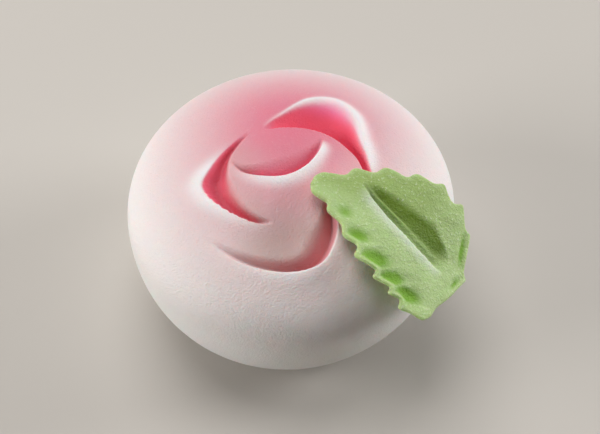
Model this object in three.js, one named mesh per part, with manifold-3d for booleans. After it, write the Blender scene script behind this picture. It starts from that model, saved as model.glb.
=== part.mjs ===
// A rose-shaped nerikiri: a squat ball of sweet bean paste, its top pressed into petals by four curved folds,
// with a separate leaf of green paste laid over its right shoulder.
// Millimetres, +Z up. The origin is the middle of the flat underside, and -Y is the front.
//
// Places on the dome are given on its unrolled top: x and y are millimetres measured over the surface from
// the crown, x to the right and y to the back.
import * as THREE from "three";
import { mergeVertices } from "three/addons/utils/BufferGeometryUtils.js";
import Module from "manifold-3d";

const wasm = await Module();
wasm.setup();

// ---- the ball of paste
const RADIUS = 24; // widest half width
const HEIGHT = 26;
const WAIST = 15.5; // height at which it is widest
const BASE_RADIUS = 14.8; // the flat underside
const FULLNESS = 2.37; // power of the dome's superellipse: 2 would be a plain ellipse
const OVAL = 0.022; // the ball is this share longer along the oval's own direction, and shorter across it
const OVAL_TURN = THREE.MathUtils.degToRad(58);
const CROWN_RINGS = 20; // rings over the petals
const SHOULDER_RINGS = 7; // rings from the petals to the waist
const LOWER_RINGS = 8; // rings from the waist to the underside
const SECTORS = 88;
const PETAL_REACH = 20; // how far from the crown the petals go, over the surface
const LIPS_END = 24; // no lip reaches past here
const TRACK_STEPS = 600; // places worked out along the dome's outline

// ---- the folds, each a row of stations along its deepest line, clockwise, so that its left is its outer side
// at: place; depth: how deep; inner: width of the petal's slope down to the line; outer: width of the wall on
// the far side of the line; lip: how high the paste is pushed up at the top of the wall; spread: the lip's width
const FOLDS = {
  back: [
    { at: [-5.2, 5.2], depth: -0.1, inner: 0.3, outer: 0.4, lip: 0.0, spread: 0.6 },
    { at: [-2.6, 6.1], depth: 1.2, inner: 0.4, outer: 2.0, lip: 0.15, spread: 0.8 },
    { at: [0.6, 6.3], depth: 2.2, inner: 0.5, outer: 5.1, lip: 0.4, spread: 1.0 },
    { at: [3.0, 5.9], depth: 2.5, inner: 0.5, outer: 6.1, lip: 0.6, spread: 1.3 },
    { at: [5.2, 5.0], depth: 2.4, inner: 0.5, outer: 4.7, lip: 0.8, spread: 1.7 },
    { at: [7.2, 3.5], depth: 2.0, inner: 0.5, outer: 2.3, lip: 0.8, spread: 1.8 },
    { at: [8.9, 1.6], depth: 1.6, inner: 0.4, outer: 1.1, lip: 0.6, spread: 1.6 },
    { at: [10.3, -1.4], depth: 1.0, inner: 0.4, outer: 0.6, lip: 0.1, spread: 1.2 },
    { at: [10.9, -3.4], depth: -0.1, inner: 0.3, outer: 0.4, lip: 0.0, spread: 1.2 },
  ],
  left: [
    { at: [-2.3, -9.7], depth: -0.1, inner: 0.3, outer: 0.3, lip: 0.0, spread: 1.2 },
    { at: [-4.8, -9.75], depth: 0.8, inner: 1.0, outer: 0.4, lip: 0.1, spread: 1.2 },
    { at: [-7.7, -8.6], depth: 1.3, inner: 1.9, outer: 0.6, lip: 0.3, spread: 1.5 },
    { at: [-9.7, -6.5], depth: 1.3, inner: 2.2, outer: 1.5, lip: 0.4, spread: 1.8 },
    { at: [-10.25, -4.9], depth: 1.2, inner: 2.0, outer: 2.3, lip: 0.45, spread: 1.9 },
    { at: [-10.3, -3.0], depth: 1.1, inner: 1.5, outer: 1.75, lip: 0.45, spread: 1.9 },
    { at: [-9.9, -0.2], depth: 1.0, inner: 0.8, outer: 0.85, lip: 0.2, spread: 1.4 },
    { at: [-8.6, 2.4], depth: 0.8, inner: 0.4, outer: 0.5, lip: 0.0, spread: 1.0 },
    { at: [-6.9, 4.8], depth: -0.1, inner: 0.3, outer: 0.4, lip: 0.0, spread: 1.0 },
  ],
  bud: [
    { at: [3.2, 4.1], depth: -0.1, inner: 0.5, outer: 0.3, lip: 0.0, spread: 1.0 },
    { at: [2.8, 1.7], depth: 0.9, inner: 1.6, outer: 0.4, lip: 0.5, spread: 1.3 },
    { at: [1.2, -0.9], depth: 1.2, inner: 2.6, outer: 0.5, lip: 0.6, spread: 1.6 },
    { at: [-1.5, -2.4], depth: 1.3, inner: 2.9, outer: 0.5, lip: 0.45, spread: 1.6 },
    { at: [-4.6, -2.8], depth: 1.1, inner: 2.1, outer: 0.4, lip: 0.3, spread: 1.5 },
    { at: [-7.2, -2.3], depth: 0.6, inner: 1.0, outer: 0.4, lip: 0.1, spread: 1.2 },
    { at: [-9.0, -0.9], depth: -0.1, inner: 0.3, outer: 0.3, lip: 0.0, spread: 1.0 },
  ],
  front: [
    { at: [4.5, -5.4], depth: -0.1, inner: 0.4, outer: 0.3, lip: 0.0, spread: 1.4 },
    { at: [5.7, -8.4], depth: 1.0, inner: 1.8, outer: 0.4, lip: 0.0, spread: 1.4 },
    { at: [5.75, -11.6], depth: 1.5, inner: 2.6, outer: 0.5, lip: 0.1, spread: 1.6 },
    { at: [4.4, -14.9], depth: 1.6, inner: 2.9, outer: 0.5, lip: 0.4, spread: 1.8 },
    { at: [1.4, -16.45], depth: 1.4, inner: 2.4, outer: 0.5, lip: 0.4, spread: 1.8 },
    { at: [-2.4, -16.5], depth: 1.0, inner: 1.6, outer: 0.5, lip: 0.2, spread: 1.6 },
    { at: [-6.2, -15.6], depth: 0.7, inner: 1.0, outer: 0.5, lip: 0.1, spread: 1.4 },
    { at: [-10.2, -13.4], depth: -0.1, inner: 0.4, outer: 0.3, lip: 0.0, spread: 1.4 },
  ],
};
const FOLD_STEPS = 24; // sections along each fold
const LINE_STEPS = 96; // places along a fold to measure from
const SLOPE_POWER = 1.7; // how roundly a petal rolls down into its fold
const SLOPE_SHARES = [1.12, 0.8, 0.55, 0.3, 0.12, 0]; // places across the slope, as shares of its width
const WALL_POWER = 1.25; // how hollow the outer wall is
const WALL_SHARES = [0.5, 1];
const LEAST_RISE = 0.3; // a wall is carried on upwards at least this steeply for its width
const CLEAR_ABOVE = 1.9; // the presser reaches this far above the dome
const PETAL_DIP = 1.7; // how far the middle petal dips towards the front fold
const DIP_CENTRE = [1, -13];
const DIP_REACH = [6.5, 7];
const DIP_SHARES = [0.3, 0.9]; // it dips between these shares of the slope's width
const MERGE_WITHIN = 1e-4;
const SHORTEST_EDGE = 0.12; // cuts leave no edge shorter than this
const CLOSING_PASSES = 4;

// ---- the leaf, on the unrolled dome of its own upper face
const LEAF_GAP = 0.4; // clear of the ball
const LEAF_THICKNESS = 1.5;
const LEAF_RIM = 0.9; // thickness at the edge
const LEAF_THICKENS_OVER = 4;
const LEAF_LEAVES_AT = THREE.MathUtils.degToRad(36); // where the dome is steeper, the leaf runs on straight
const LEAF_TIP = [2.15, -5.1];
const LEAF_END = [27.0, -12.8];
// corners of the teeth and of the notches between them, in turn, from the tip to the end
const BACK_CORNERS = [
  [2.7, -3.8], [3.7, -3.1], [7.1, -3.2], [8.0, -1.7], [11.1, -2.2], [12.3, -0.8], [15.6, -2.0], [17.0, -0.6],
  [19.5, -1.8], [21.4, -0.8], [23.2, -3.4], [25.0, -2.6], [26.3, -6.3], [27.3, -6.6], [27.3, -8.9],
];
const FRONT_CORNERS = [
  [2.4, -6.3], [3.2, -7.0], [4.8, -7.9], [4.6, -9.1], [6.9, -11.0], [6.9, -12.8], [9.3, -13.9], [8.4, -15.6],
  [12.0, -16.8], [11.2, -17.8], [14.0, -18.6], [13.4, -19.5], [15.9, -19.9], [15.4, -21.2], [17.4, -21.4],
  [19.0, -22.2], [20.8, -21.3], [21.6, -20.0], [24.2, -17.7], [27.4, -14.1],
];
const CORNER_SHARE = 0.35; // share of a corner's shorter side that is rounded off
const CORNER_MOST = 0.6;
const LEAF_STATIONS = 80; // rows from tip to end
const LEAF_COLUMNS = 16; // from the front edge to the back edge
const MIDDLE_POWER = 0.5; // the rows run ahead in the middle, so that they meet the front teeth squarely
const BACK_LIFT = 1; // how far the edges rise, so that the leaf is folded along its middle
const FRONT_LIFT = 1.8;
const LIFT_FROM_TIP = 14; // from here on the rise is full
const LIFT_POWER = 1.4;
const HALF_WIDTH = 10;
const WAVE_HEIGHT = 0.25; // how far the leaf's edge waves up and down
const WAVE_LENGTH = 5.2;
// the pressed slope behind the midrib, and the narrower one before it
const RIB = [[9.4, -3.9], [12.5, -6.5], [14.6, -8.1], [16.4, -9.4], [18.2, -10.6], [20.2, -11.6], [23.7, -13.5]];
const RIB_DEPTH = 0.8;
const RIB_BACK_WIDTH = 3.7; // at its widest
const RIB_WIDEST_AT = 0.7; // share of its length
const RIB_FRONT_WIDTH = 1.6;
const RIB_LEAST_SWELL = 0.25;
const RIB_DEEPENING = 0.5; // power with which it deepens from its ends
const RIB_STEPS = 60;
const CURVE_STEPS = 200;

const PASTE_COLOUR = "#efd9d6";
const LEAF_COLOUR = "#93b863";

// ---- the dome

// half outline of the ball: 90 degrees is the crown, 0 the waist, -90 the rim of the underside
function outline(angle) {
  const across = Math.cos(angle);
  const up = Math.sin(angle);
  if (angle < 0) {
    return new THREE.Vector2(BASE_RADIUS + (RADIUS - BASE_RADIUS) * across, WAIST * (1 + up));
  }
  const power = 2 / FULLNESS;
  return new THREE.Vector2(RADIUS * across ** power, WAIST + (HEIGHT - WAIST) * up ** power);
}

// the dome's half outline set off outwards, walked from the crown; past a given slope it runs straight on
function makeTrack(offset, leavesAt) {
  const places = [];
  for (let i = 0; i <= TRACK_STEPS; i++) {
    places.push(outline((Math.PI / 2) * (1 - i / TRACK_STEPS)));
  }
  const track = [];
  for (let i = 0; i <= TRACK_STEPS; i++) {
    const along = places[Math.min(i + 1, TRACK_STEPS)].clone().sub(places[Math.max(i - 1, 0)]).normalize();
    const normal = i === 0 ? new THREE.Vector2(0, 1) : new THREE.Vector2(-along.y, along.x);
    const steepness = Math.atan2(normal.x, normal.y);
    if (steepness > leavesAt) break;
    const place = places[i].clone().addScaledVector(normal, offset);
    const before = track[track.length - 1];
    const walked = before ? before.walked + place.distanceTo(before.place) : 0;
    track.push({ place, normal, walked });
  }
  return track;
}

// place and normal, in the plane of the half outline, at a distance walked from the crown
function walkTrack(track, distance) {
  const last = track[track.length - 1];
  if (distance >= last.walked) {
    const onward = new THREE.Vector2(last.normal.y, -last.normal.x);
    const place = last.place.clone().addScaledVector(onward, distance - last.walked);
    return { place, normal: last.normal.clone() };
  }
  let low = 0;
  let high = track.length - 1;
  while (high - low > 1) {
    const middle = (low + high) >> 1;
    if (track[middle].walked > distance) high = middle;
    else low = middle;
  }
  const share = (distance - track[low].walked) / (track[high].walked - track[low].walked);
  const place = track[low].place.clone().lerp(track[high].place, share);
  const normal = track[low].normal.clone().lerp(track[high].normal, share).normalize();
  return { place, normal };
}

function swing(half, azimuth, height) {
  const stretch = 1 + OVAL * Math.cos(2 * (azimuth - OVAL_TURN));
  const radius = half.place.x * stretch + half.normal.x * height;
  const level = half.place.y + half.normal.y * height;
  return new THREE.Vector3(radius * Math.cos(azimuth), radius * Math.sin(azimuth), level);
}

// a point over the unrolled dome, lifted along the normal
function onDome(track, x, y, height) {
  return swing(walkTrack(track, Math.hypot(x, y)), Math.atan2(y, x), height);
}

// ---- the folds

// a smooth curve through rows of three numbers
function smoothRow(rows) {
  return new THREE.CatmullRomCurve3(rows.map((row) => new THREE.Vector3(...row)), false, "catmullrom", 0.5);
}

function foldStations(stations, steps) {
  const line = smoothRow(stations.map((s) => [...s.at, s.depth]));
  const widths = smoothRow(stations.map((s) => [s.inner, s.outer, 0]));
  const lips = smoothRow(stations.map((s) => [s.lip, s.spread, 0]));
  const rows = [];
  for (let i = 0; i <= steps; i++) {
    const share = i / steps;
    const point = line.getPoint(share);
    const along = line.getTangent(share).setZ(0).normalize();
    const width = widths.getPoint(share);
    const lip = lips.getPoint(share);
    rows.push({
      point,
      outward: new THREE.Vector2(-along.y, along.x),
      depth: point.z,
      inner: width.x,
      outer: width.y,
      lip: lip.x,
      spread: lip.y,
    });
  }
  return rows;
}

// the row of a fold that is nearest to a place, and how far the place lies to its outer side
function besideFold(rows, x, y) {
  let nearest = null;
  let least = Infinity;
  for (const row of rows) {
    const gap = (x - row.point.x) ** 2 + (y - row.point.y) ** 2;
    if (gap < least) {
      least = gap;
      nearest = row;
    }
  }
  const side = (x - nearest.point.x) * nearest.outward.x + (y - nearest.point.y) * nearest.outward.y;
  return { row: nearest, side };
}

// the paste that the presser pushed up, over the unrolled dome
function lipHeight(folds, x, y) {
  const heights = Object.values(folds).map((rows) => {
    const { row, side } = besideFold(rows, x, y);
    return row.lip * Math.exp(-(((side - row.outer) / row.spread) ** 2));
  });
  return Math.max(...heights);
}

// how far the middle petal dips; the dip is full from one distance inside the front fold and gone at another
function petalDip(front, x, y, fullAt, goneAt) {
  const { row, side } = besideFold(front, x, y);
  const away = ((x - DIP_CENTRE[0]) / DIP_REACH[0]) ** 2 + ((y - DIP_CENTRE[1]) / DIP_REACH[1]) ** 2;
  return PETAL_DIP * Math.exp(-away) * THREE.MathUtils.smoothstep(-side, goneAt(row), fullAt(row));
}

// the section of the presser at one station: distance outwards, and height over the dome
function foldSection(row) {
  const section = [];
  for (const share of SLOPE_SHARES) {
    const rolled = Math.sign(1 - share) * Math.abs(1 - share) ** SLOPE_POWER;
    section.push([-row.inner * share, -row.depth * rolled]);
  }
  for (const share of WALL_SHARES) {
    const risen = (row.depth + row.lip) * share ** WALL_POWER;
    section.push([row.outer * share, risen - row.depth]);
  }
  return section;
}

function makePresser(track, stations, front) {
  const rings = foldStations(stations, FOLD_STEPS).map((row) => {
    const lay = (out, height, dips) => {
      const x = row.point.x + row.outward.x * out;
      const y = row.point.y + row.outward.y * out;
      const dip = dips ? petalDip(front, x, y, () => 0, (at) => -at.outer) : 0;
      return onDome(track, x, y, height - dip);
    };
    const wallSlope = Math.max(row.depth + row.lip, LEAST_RISE) / row.outer;
    const wallTop = row.outer + (CLEAR_ABOVE - row.lip) / wallSlope;
    return [
      lay(-row.inner * SLOPE_SHARES[0], CLEAR_ABOVE, false),
      ...foldSection(row).map(([out, height]) => lay(out, height, true)),
      lay(wallTop, CLEAR_ABOVE, false),
    ];
  });
  return loft(rings);
}

// ---- closed meshes

// a skin through rings of equal length, closed by fans at both ends
function loft(rings) {
  const size = rings[0].length;
  const points = rings.flat();
  const faces = [];
  for (let i = 0; i + 1 < rings.length; i++) {
    for (let j = 0; j < size; j++) {
      const k = (j + 1) % size;
      const here = i * size;
      const next = here + size;
      faces.push([here + j, next + k, next + j], [here + j, here + k, next + k]);
    }
  }
  const last = (rings.length - 1) * size;
  for (let j = 1; j + 1 < size; j++) {
    faces.push([0, j + 1, j], [last, last + j, last + j + 1]);
  }
  return meshGeometry(points, faces);
}

function meshGeometry(points, faces) {
  const geometry = new THREE.BufferGeometry();
  geometry.setAttribute("position", new THREE.Float32BufferAttribute(points.flatMap((p) => p.toArray()), 3));
  geometry.setIndex(faces.flat());
  return geometry;
}

function toSolid(geometry) {
  const merged = mergeVertices(geometry, MERGE_WITHIN);
  const solid = new wasm.Manifold(
    new wasm.Mesh({
      numProp: 3,
      vertProperties: new Float32Array(merged.attributes.position.array),
      triVerts: new Uint32Array(merged.index.array),
    }),
  );
  return solid;
}

function fromSolid(solid) {
  const { vertProperties, triVerts } = solid.getMesh();
  const geometry = new THREE.BufferGeometry();
  geometry.setAttribute("position", new THREE.BufferAttribute(new Float32Array(vertProperties), 3));
  geometry.setIndex(new THREE.BufferAttribute(new Uint32Array(triVerts), 1));
  return geometry;
}

// the short edges that the cuts leave are closed up, one end onto the other
function closeShortEdges(geometry) {
  const places = [];
  const position = geometry.attributes.position;
  for (let i = 0; i < position.count; i++) places.push(new THREE.Vector3().fromBufferAttribute(position, i));
  const faces = [];
  const around = places.map(() => new Set());
  for (let i = 0; i < geometry.index.count; i += 3) {
    const face = [0, 1, 2].map((corner) => geometry.index.getX(i + corner));
    face.forEach((v) => around[v].add(faces.length));
    faces.push(face);
  }
  const neighbours = (v) => new Set([...around[v]].flatMap((f) => faces[f]).filter((w) => w !== v));
  const close = (kept, lost) => {
    const near = neighbours(kept);
    const shared = [...neighbours(lost)].filter((v) => near.has(v));
    if (shared.length !== 2) return false;
    for (const f of around[lost]) {
      if (faces[f].includes(kept)) {
        faces[f].forEach((v) => v !== lost && around[v].delete(f));
        faces[f] = null;
      } else {
        faces[f] = faces[f].map((v) => (v === lost ? kept : v));
        around[kept].add(f);
      }
    }
    around[lost].clear();
    return true;
  };
  for (let pass = 0; pass < CLOSING_PASSES; pass++) {
    for (let v = 0; v < places.length; v++) {
      for (const w of neighbours(v)) {
        if (places[v].distanceTo(places[w]) < SHORTEST_EDGE && close(v, w)) break;
      }
    }
  }
  return meshGeometry(places, faces.filter((face) => face));
}

// ---- the ball with its petals

function ballRings(track) {
  const waistWalk = track[track.length - 1].walked;
  const halves = [];
  for (let i = 1; i <= CROWN_RINGS; i++) {
    halves.push({ walked: (PETAL_REACH * i) / CROWN_RINGS });
  }
  for (let i = 1; i <= SHOULDER_RINGS; i++) {
    halves.push({ walked: PETAL_REACH + ((waistWalk - PETAL_REACH) * i) / SHOULDER_RINGS });
  }
  const rings = halves.map(({ walked }) => ({ walked, half: walkTrack(track, walked) }));
  for (let i = 1; i <= LOWER_RINGS; i++) {
    const place = outline((-Math.PI / 2) * (i / LOWER_RINGS));
    rings.push({ walked: Infinity, half: { place, normal: new THREE.Vector2(0, 0) } });
  }
  return rings;
}

function makeBall(track, folds) {
  const relief = (x, y) => {
    const [gone, full] = DIP_SHARES;
    const dip = petalDip(folds.front, x, y, (row) => full * row.inner, (row) => gone * row.inner);
    return lipHeight(folds, x, y) - dip;
  };
  const points = [onDome(track, 0, 0, relief(0, 0))];
  const rings = ballRings(track);
  for (const { walked, half } of rings) {
    for (let j = 0; j < SECTORS; j++) {
      const azimuth = (2 * Math.PI * j) / SECTORS;
      const pressed = walked <= LIPS_END;
      const height = pressed ? relief(walked * Math.cos(azimuth), walked * Math.sin(azimuth)) : 0;
      points.push(swing(half, azimuth, height));
    }
  }
  const under = points.push(new THREE.Vector3(0, 0, 0)) - 1;
  const faces = [];
  const last = (rings.length - 1) * SECTORS + 1;
  for (let j = 0; j < SECTORS; j++) {
    const k = (j + 1) % SECTORS;
    faces.push([0, 1 + j, 1 + k], [under, last + k, last + j]);
    for (let i = 0; i + 1 < rings.length; i++) {
      const here = 1 + i * SECTORS;
      const next = here + SECTORS;
      faces.push([here + j, next + j, next + k], [here + j, next + k, here + k]);
    }
  }
  return meshGeometry(points, faces);
}

function makeRose() {
  const track = makeTrack(0, Math.PI / 2);
  const folds = {};
  for (const [name, stations] of Object.entries(FOLDS)) folds[name] = foldStations(stations, LINE_STEPS);
  let rose = toSolid(makeBall(track, folds));
  for (const stations of Object.values(FOLDS)) {
    rose = rose.subtract(toSolid(makePresser(track, stations, folds.front)));
  }
  // crumbs where a fold runs out are dropped
  const [whole] = rose.decompose().sort((a, b) => b.volume() - a.volume());
  return closeShortEdges(fromSolid(whole));
}

// ---- the leaf

function flat(place) {
  return new THREE.Vector2(...place);
}

function halfWay(first, second) {
  return flat(first).lerp(flat(second), 0.5).toArray();
}

// straight lines through corners, each corner rounded off
function roundedLine(corners) {
  const path = new THREE.Path();
  path.moveTo(...corners[0]);
  for (let i = 1; i + 1 < corners.length; i++) {
    const [before, corner, after] = corners.slice(i - 1, i + 2).map(flat);
    const sides = [corner.distanceTo(before), corner.distanceTo(after)];
    const cut = Math.min(CORNER_MOST, CORNER_SHARE * Math.min(...sides));
    const start = corner.clone().lerp(before, cut / sides[0]);
    const finish = corner.clone().lerp(after, cut / sides[1]);
    path.lineTo(start.x, start.y);
    path.quadraticCurveTo(corner.x, corner.y, finish.x, finish.y);
  }
  path.lineTo(...corners[corners.length - 1]);
  return path;
}

// the leaf's four edges: the back and the front one from the tip on, the tip and the end from front to back
function leafEdges() {
  const tipBack = halfWay(LEAF_TIP, BACK_CORNERS[0]);
  const tipFront = halfWay(LEAF_TIP, FRONT_CORNERS[0]);
  const endBack = halfWay(LEAF_END, BACK_CORNERS[BACK_CORNERS.length - 1]);
  const endFront = halfWay(LEAF_END, FRONT_CORNERS[FRONT_CORNERS.length - 1]);
  return {
    back: roundedLine([tipBack, ...BACK_CORNERS, endBack]).getSpacedPoints(LEAF_STATIONS),
    front: roundedLine([tipFront, ...FRONT_CORNERS, endFront]).getSpacedPoints(LEAF_STATIONS),
    tip: roundedLine([tipFront, LEAF_TIP, tipBack]).getSpacedPoints(LEAF_COLUMNS),
    end: roundedLine([endFront, LEAF_END, endBack]).getSpacedPoints(LEAF_COLUMNS),
  };
}

// a place on the line from the front through the middle to the back
function through(front, middle, back, across) {
  return across < 0.5 ? front.clone().lerp(middle, 2 * across) : middle.clone().lerp(back, 2 * across - 1);
}

// a place inside the leaf, filled in between its four edges
function leafPlace({ back, front, tip, end }, i, j) {
  const down = i / LEAF_STATIONS;
  const across = j / LEAF_COLUMNS;
  const middle = flat(LEAF_TIP).lerp(flat(LEAF_END), down ** MIDDLE_POWER);
  const betweenSides = through(front[i], middle, back[i], across);
  const betweenEnds = tip[j].clone().lerp(end[j], down);
  const tipLine = through(tip[0], flat(LEAF_TIP), tip[LEAF_COLUMNS], across);
  const endLine = through(end[0], flat(LEAF_END), end[LEAF_COLUMNS], across);
  return betweenSides.add(betweenEnds).sub(tipLine.lerp(endLine, down));
}

// how far the leaf rises towards its edges, with soft waves
function leafLift(point) {
  const axis = flat(LEAF_END).sub(flat(LEAF_TIP)).normalize();
  const fromTip = point.clone().sub(flat(LEAF_TIP));
  const beside = axis.cross(fromTip) / HALF_WIDTH;
  const rise = (beside > 0 ? BACK_LIFT : FRONT_LIFT) * Math.abs(beside) ** LIFT_POWER;
  const wave = WAVE_HEIGHT * Math.cos((2 * Math.PI * fromTip.dot(axis)) / WAVE_LENGTH) * beside ** 2;
  return (rise + wave) * THREE.MathUtils.smoothstep(fromTip.length(), 0, LIFT_FROM_TIP);
}

// how far the pressed midrib sinks the upper face
function ribDepth(rib, point) {
  let nearest = 0;
  rib.forEach((p, i) => {
    if (p.distanceTo(point) < rib[nearest].distanceTo(point)) nearest = i;
  });
  const along = rib[Math.min(nearest + 1, rib.length - 1)].clone().sub(rib[Math.max(nearest - 1, 0)]);
  const away = point.clone().sub(rib[nearest]);
  const share = nearest / (rib.length - 1);
  const swell = Math.min(share / RIB_WIDEST_AT, (1 - share) / (1 - RIB_WIDEST_AT));
  const width = Math.max(swell, RIB_LEAST_SWELL) * (along.cross(away) > 0 ? RIB_BACK_WIDTH : RIB_FRONT_WIDTH);
  return RIB_DEPTH * swell ** RIB_DEEPENING * Math.max(1 - away.length() / width, 0);
}

function makeLeaf() {
  const top = makeTrack(LEAF_GAP + LEAF_THICKNESS, LEAF_LEAVES_AT);
  const ribCurve = smoothRow(RIB.map((place) => [...place, 0]));
  ribCurve.arcLengthDivisions = CURVE_STEPS;
  const rib = ribCurve.getSpacedPoints(RIB_STEPS).map((p) => new THREE.Vector2(p.x, p.y));
  const edges = leafEdges();
  const rim = Object.values(edges).flat();
  const upper = [];
  const lower = [];
  for (let i = 0; i <= LEAF_STATIONS; i++) {
    for (let j = 0; j <= LEAF_COLUMNS; j++) {
      const point = leafPlace(edges, i, j);
      const inland = Math.min(...rim.map((p) => p.distanceTo(point)));
      const thickening = THREE.MathUtils.smoothstep(inland, 0, LEAF_THICKENS_OVER);
      const thickness = THREE.MathUtils.lerp(LEAF_RIM, LEAF_THICKNESS, thickening);
      const lift = leafLift(point);
      upper.push(onDome(top, point.x, point.y, lift - ribDepth(rib, point)));
      lower.push(onDome(top, point.x, point.y, lift - thickness));
    }
  }
  return skinLeaf(upper, lower);
}

// both faces split alike, joined by a rim
function skinLeaf(upper, lower) {
  const half = upper.length;
  const at = (i, j) => i * (LEAF_COLUMNS + 1) + j;
  const faces = [];
  for (let i = 0; i < LEAF_STATIONS; i++) {
    for (let j = 0; j < LEAF_COLUMNS; j++) {
      const [a, b, c, d] = [at(i, j), at(i + 1, j), at(i + 1, j + 1), at(i, j + 1)];
      // where two edges of the leaf run on into each other in one line, the cell is split the other way
      const runsOn = (i === 0 && j === LEAF_COLUMNS - 1) || (i === LEAF_STATIONS - 1 && j === 0);
      const halves = runsOn ? [[a, b, d], [b, c, d]] : [[a, b, c], [a, c, d]];
      for (const [p, q, r] of halves) faces.push([p, q, r], [half + p, half + r, half + q]);
    }
  }
  const loop = [];
  for (let i = 0; i < LEAF_STATIONS; i++) loop.push(at(i, 0));
  for (let j = 0; j < LEAF_COLUMNS; j++) loop.push(at(LEAF_STATIONS, j));
  for (let i = LEAF_STATIONS; i > 0; i--) loop.push(at(i, LEAF_COLUMNS));
  for (let j = LEAF_COLUMNS; j > 0; j--) loop.push(at(0, j));
  loop.forEach((a, n) => {
    const b = loop[(n + 1) % loop.length];
    faces.push([a, half + b, b], [a, half + a, half + b]);
  });
  return meshGeometry([...upper, ...lower], faces);
}

// ---- the sweet

function addPiece(group, name, geometry, colour, roughness) {
  const mesh = new THREE.Mesh(
    geometry,
    new THREE.MeshStandardMaterial({ color: colour, roughness, metalness: 0 }),
  );
  mesh.name = name;
  group.add(mesh);
}

const sweet = new THREE.Group();
addPiece(sweet, "rose", makeRose(), PASTE_COLOUR, 0.5);
addPiece(sweet, "leaf", makeLeaf(), LEAF_COLOUR, 0.55);

export default sweet;
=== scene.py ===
import math

import bpy
import numpy as np
from mathutils import Matrix, Vector
from mathutils.kdtree import KDTree


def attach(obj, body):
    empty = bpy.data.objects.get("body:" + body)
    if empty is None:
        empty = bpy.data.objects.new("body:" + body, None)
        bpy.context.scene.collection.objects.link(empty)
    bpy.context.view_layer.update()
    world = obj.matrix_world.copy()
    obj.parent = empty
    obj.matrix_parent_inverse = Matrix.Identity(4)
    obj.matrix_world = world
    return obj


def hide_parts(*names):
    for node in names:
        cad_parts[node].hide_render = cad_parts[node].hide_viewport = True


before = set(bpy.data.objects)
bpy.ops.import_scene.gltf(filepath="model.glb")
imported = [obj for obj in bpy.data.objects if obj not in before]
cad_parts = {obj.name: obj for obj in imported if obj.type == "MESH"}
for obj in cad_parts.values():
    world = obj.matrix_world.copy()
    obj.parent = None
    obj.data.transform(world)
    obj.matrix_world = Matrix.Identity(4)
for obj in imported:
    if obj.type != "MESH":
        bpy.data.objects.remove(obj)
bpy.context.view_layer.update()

# A rose-shaped nerikiri: a squat ball of sweet bean paste pressed into petals by four curved folds, and a
# leaf of green paste over its right shoulder. Sizes are millimetres until a mesh is written.
# Places on the dome are given on its unrolled top: x and y are measured over the surface from the crown,
# x to the right and y to the back.
MM = 0.001

# ---- the ball of paste
RADIUS = 24.0
HEIGHT = 26.0
WAIST = 15.5                      # height of the widest place
BASE_RADIUS = 14.8                # the flat underside
FULLNESS = 2.37                   # power of the dome's superellipse
OVAL = 0.022                      # how much longer the ball is along the oval's direction
OVAL_TURN = math.radians(58)
PETAL_REACH = 20.0                # the petals end this far from the crown
TRACK_STEPS = 4000                # steps from the crown to the waist
TRACK_RUNS_ON = 60.0              # straight on past the last step

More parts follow.
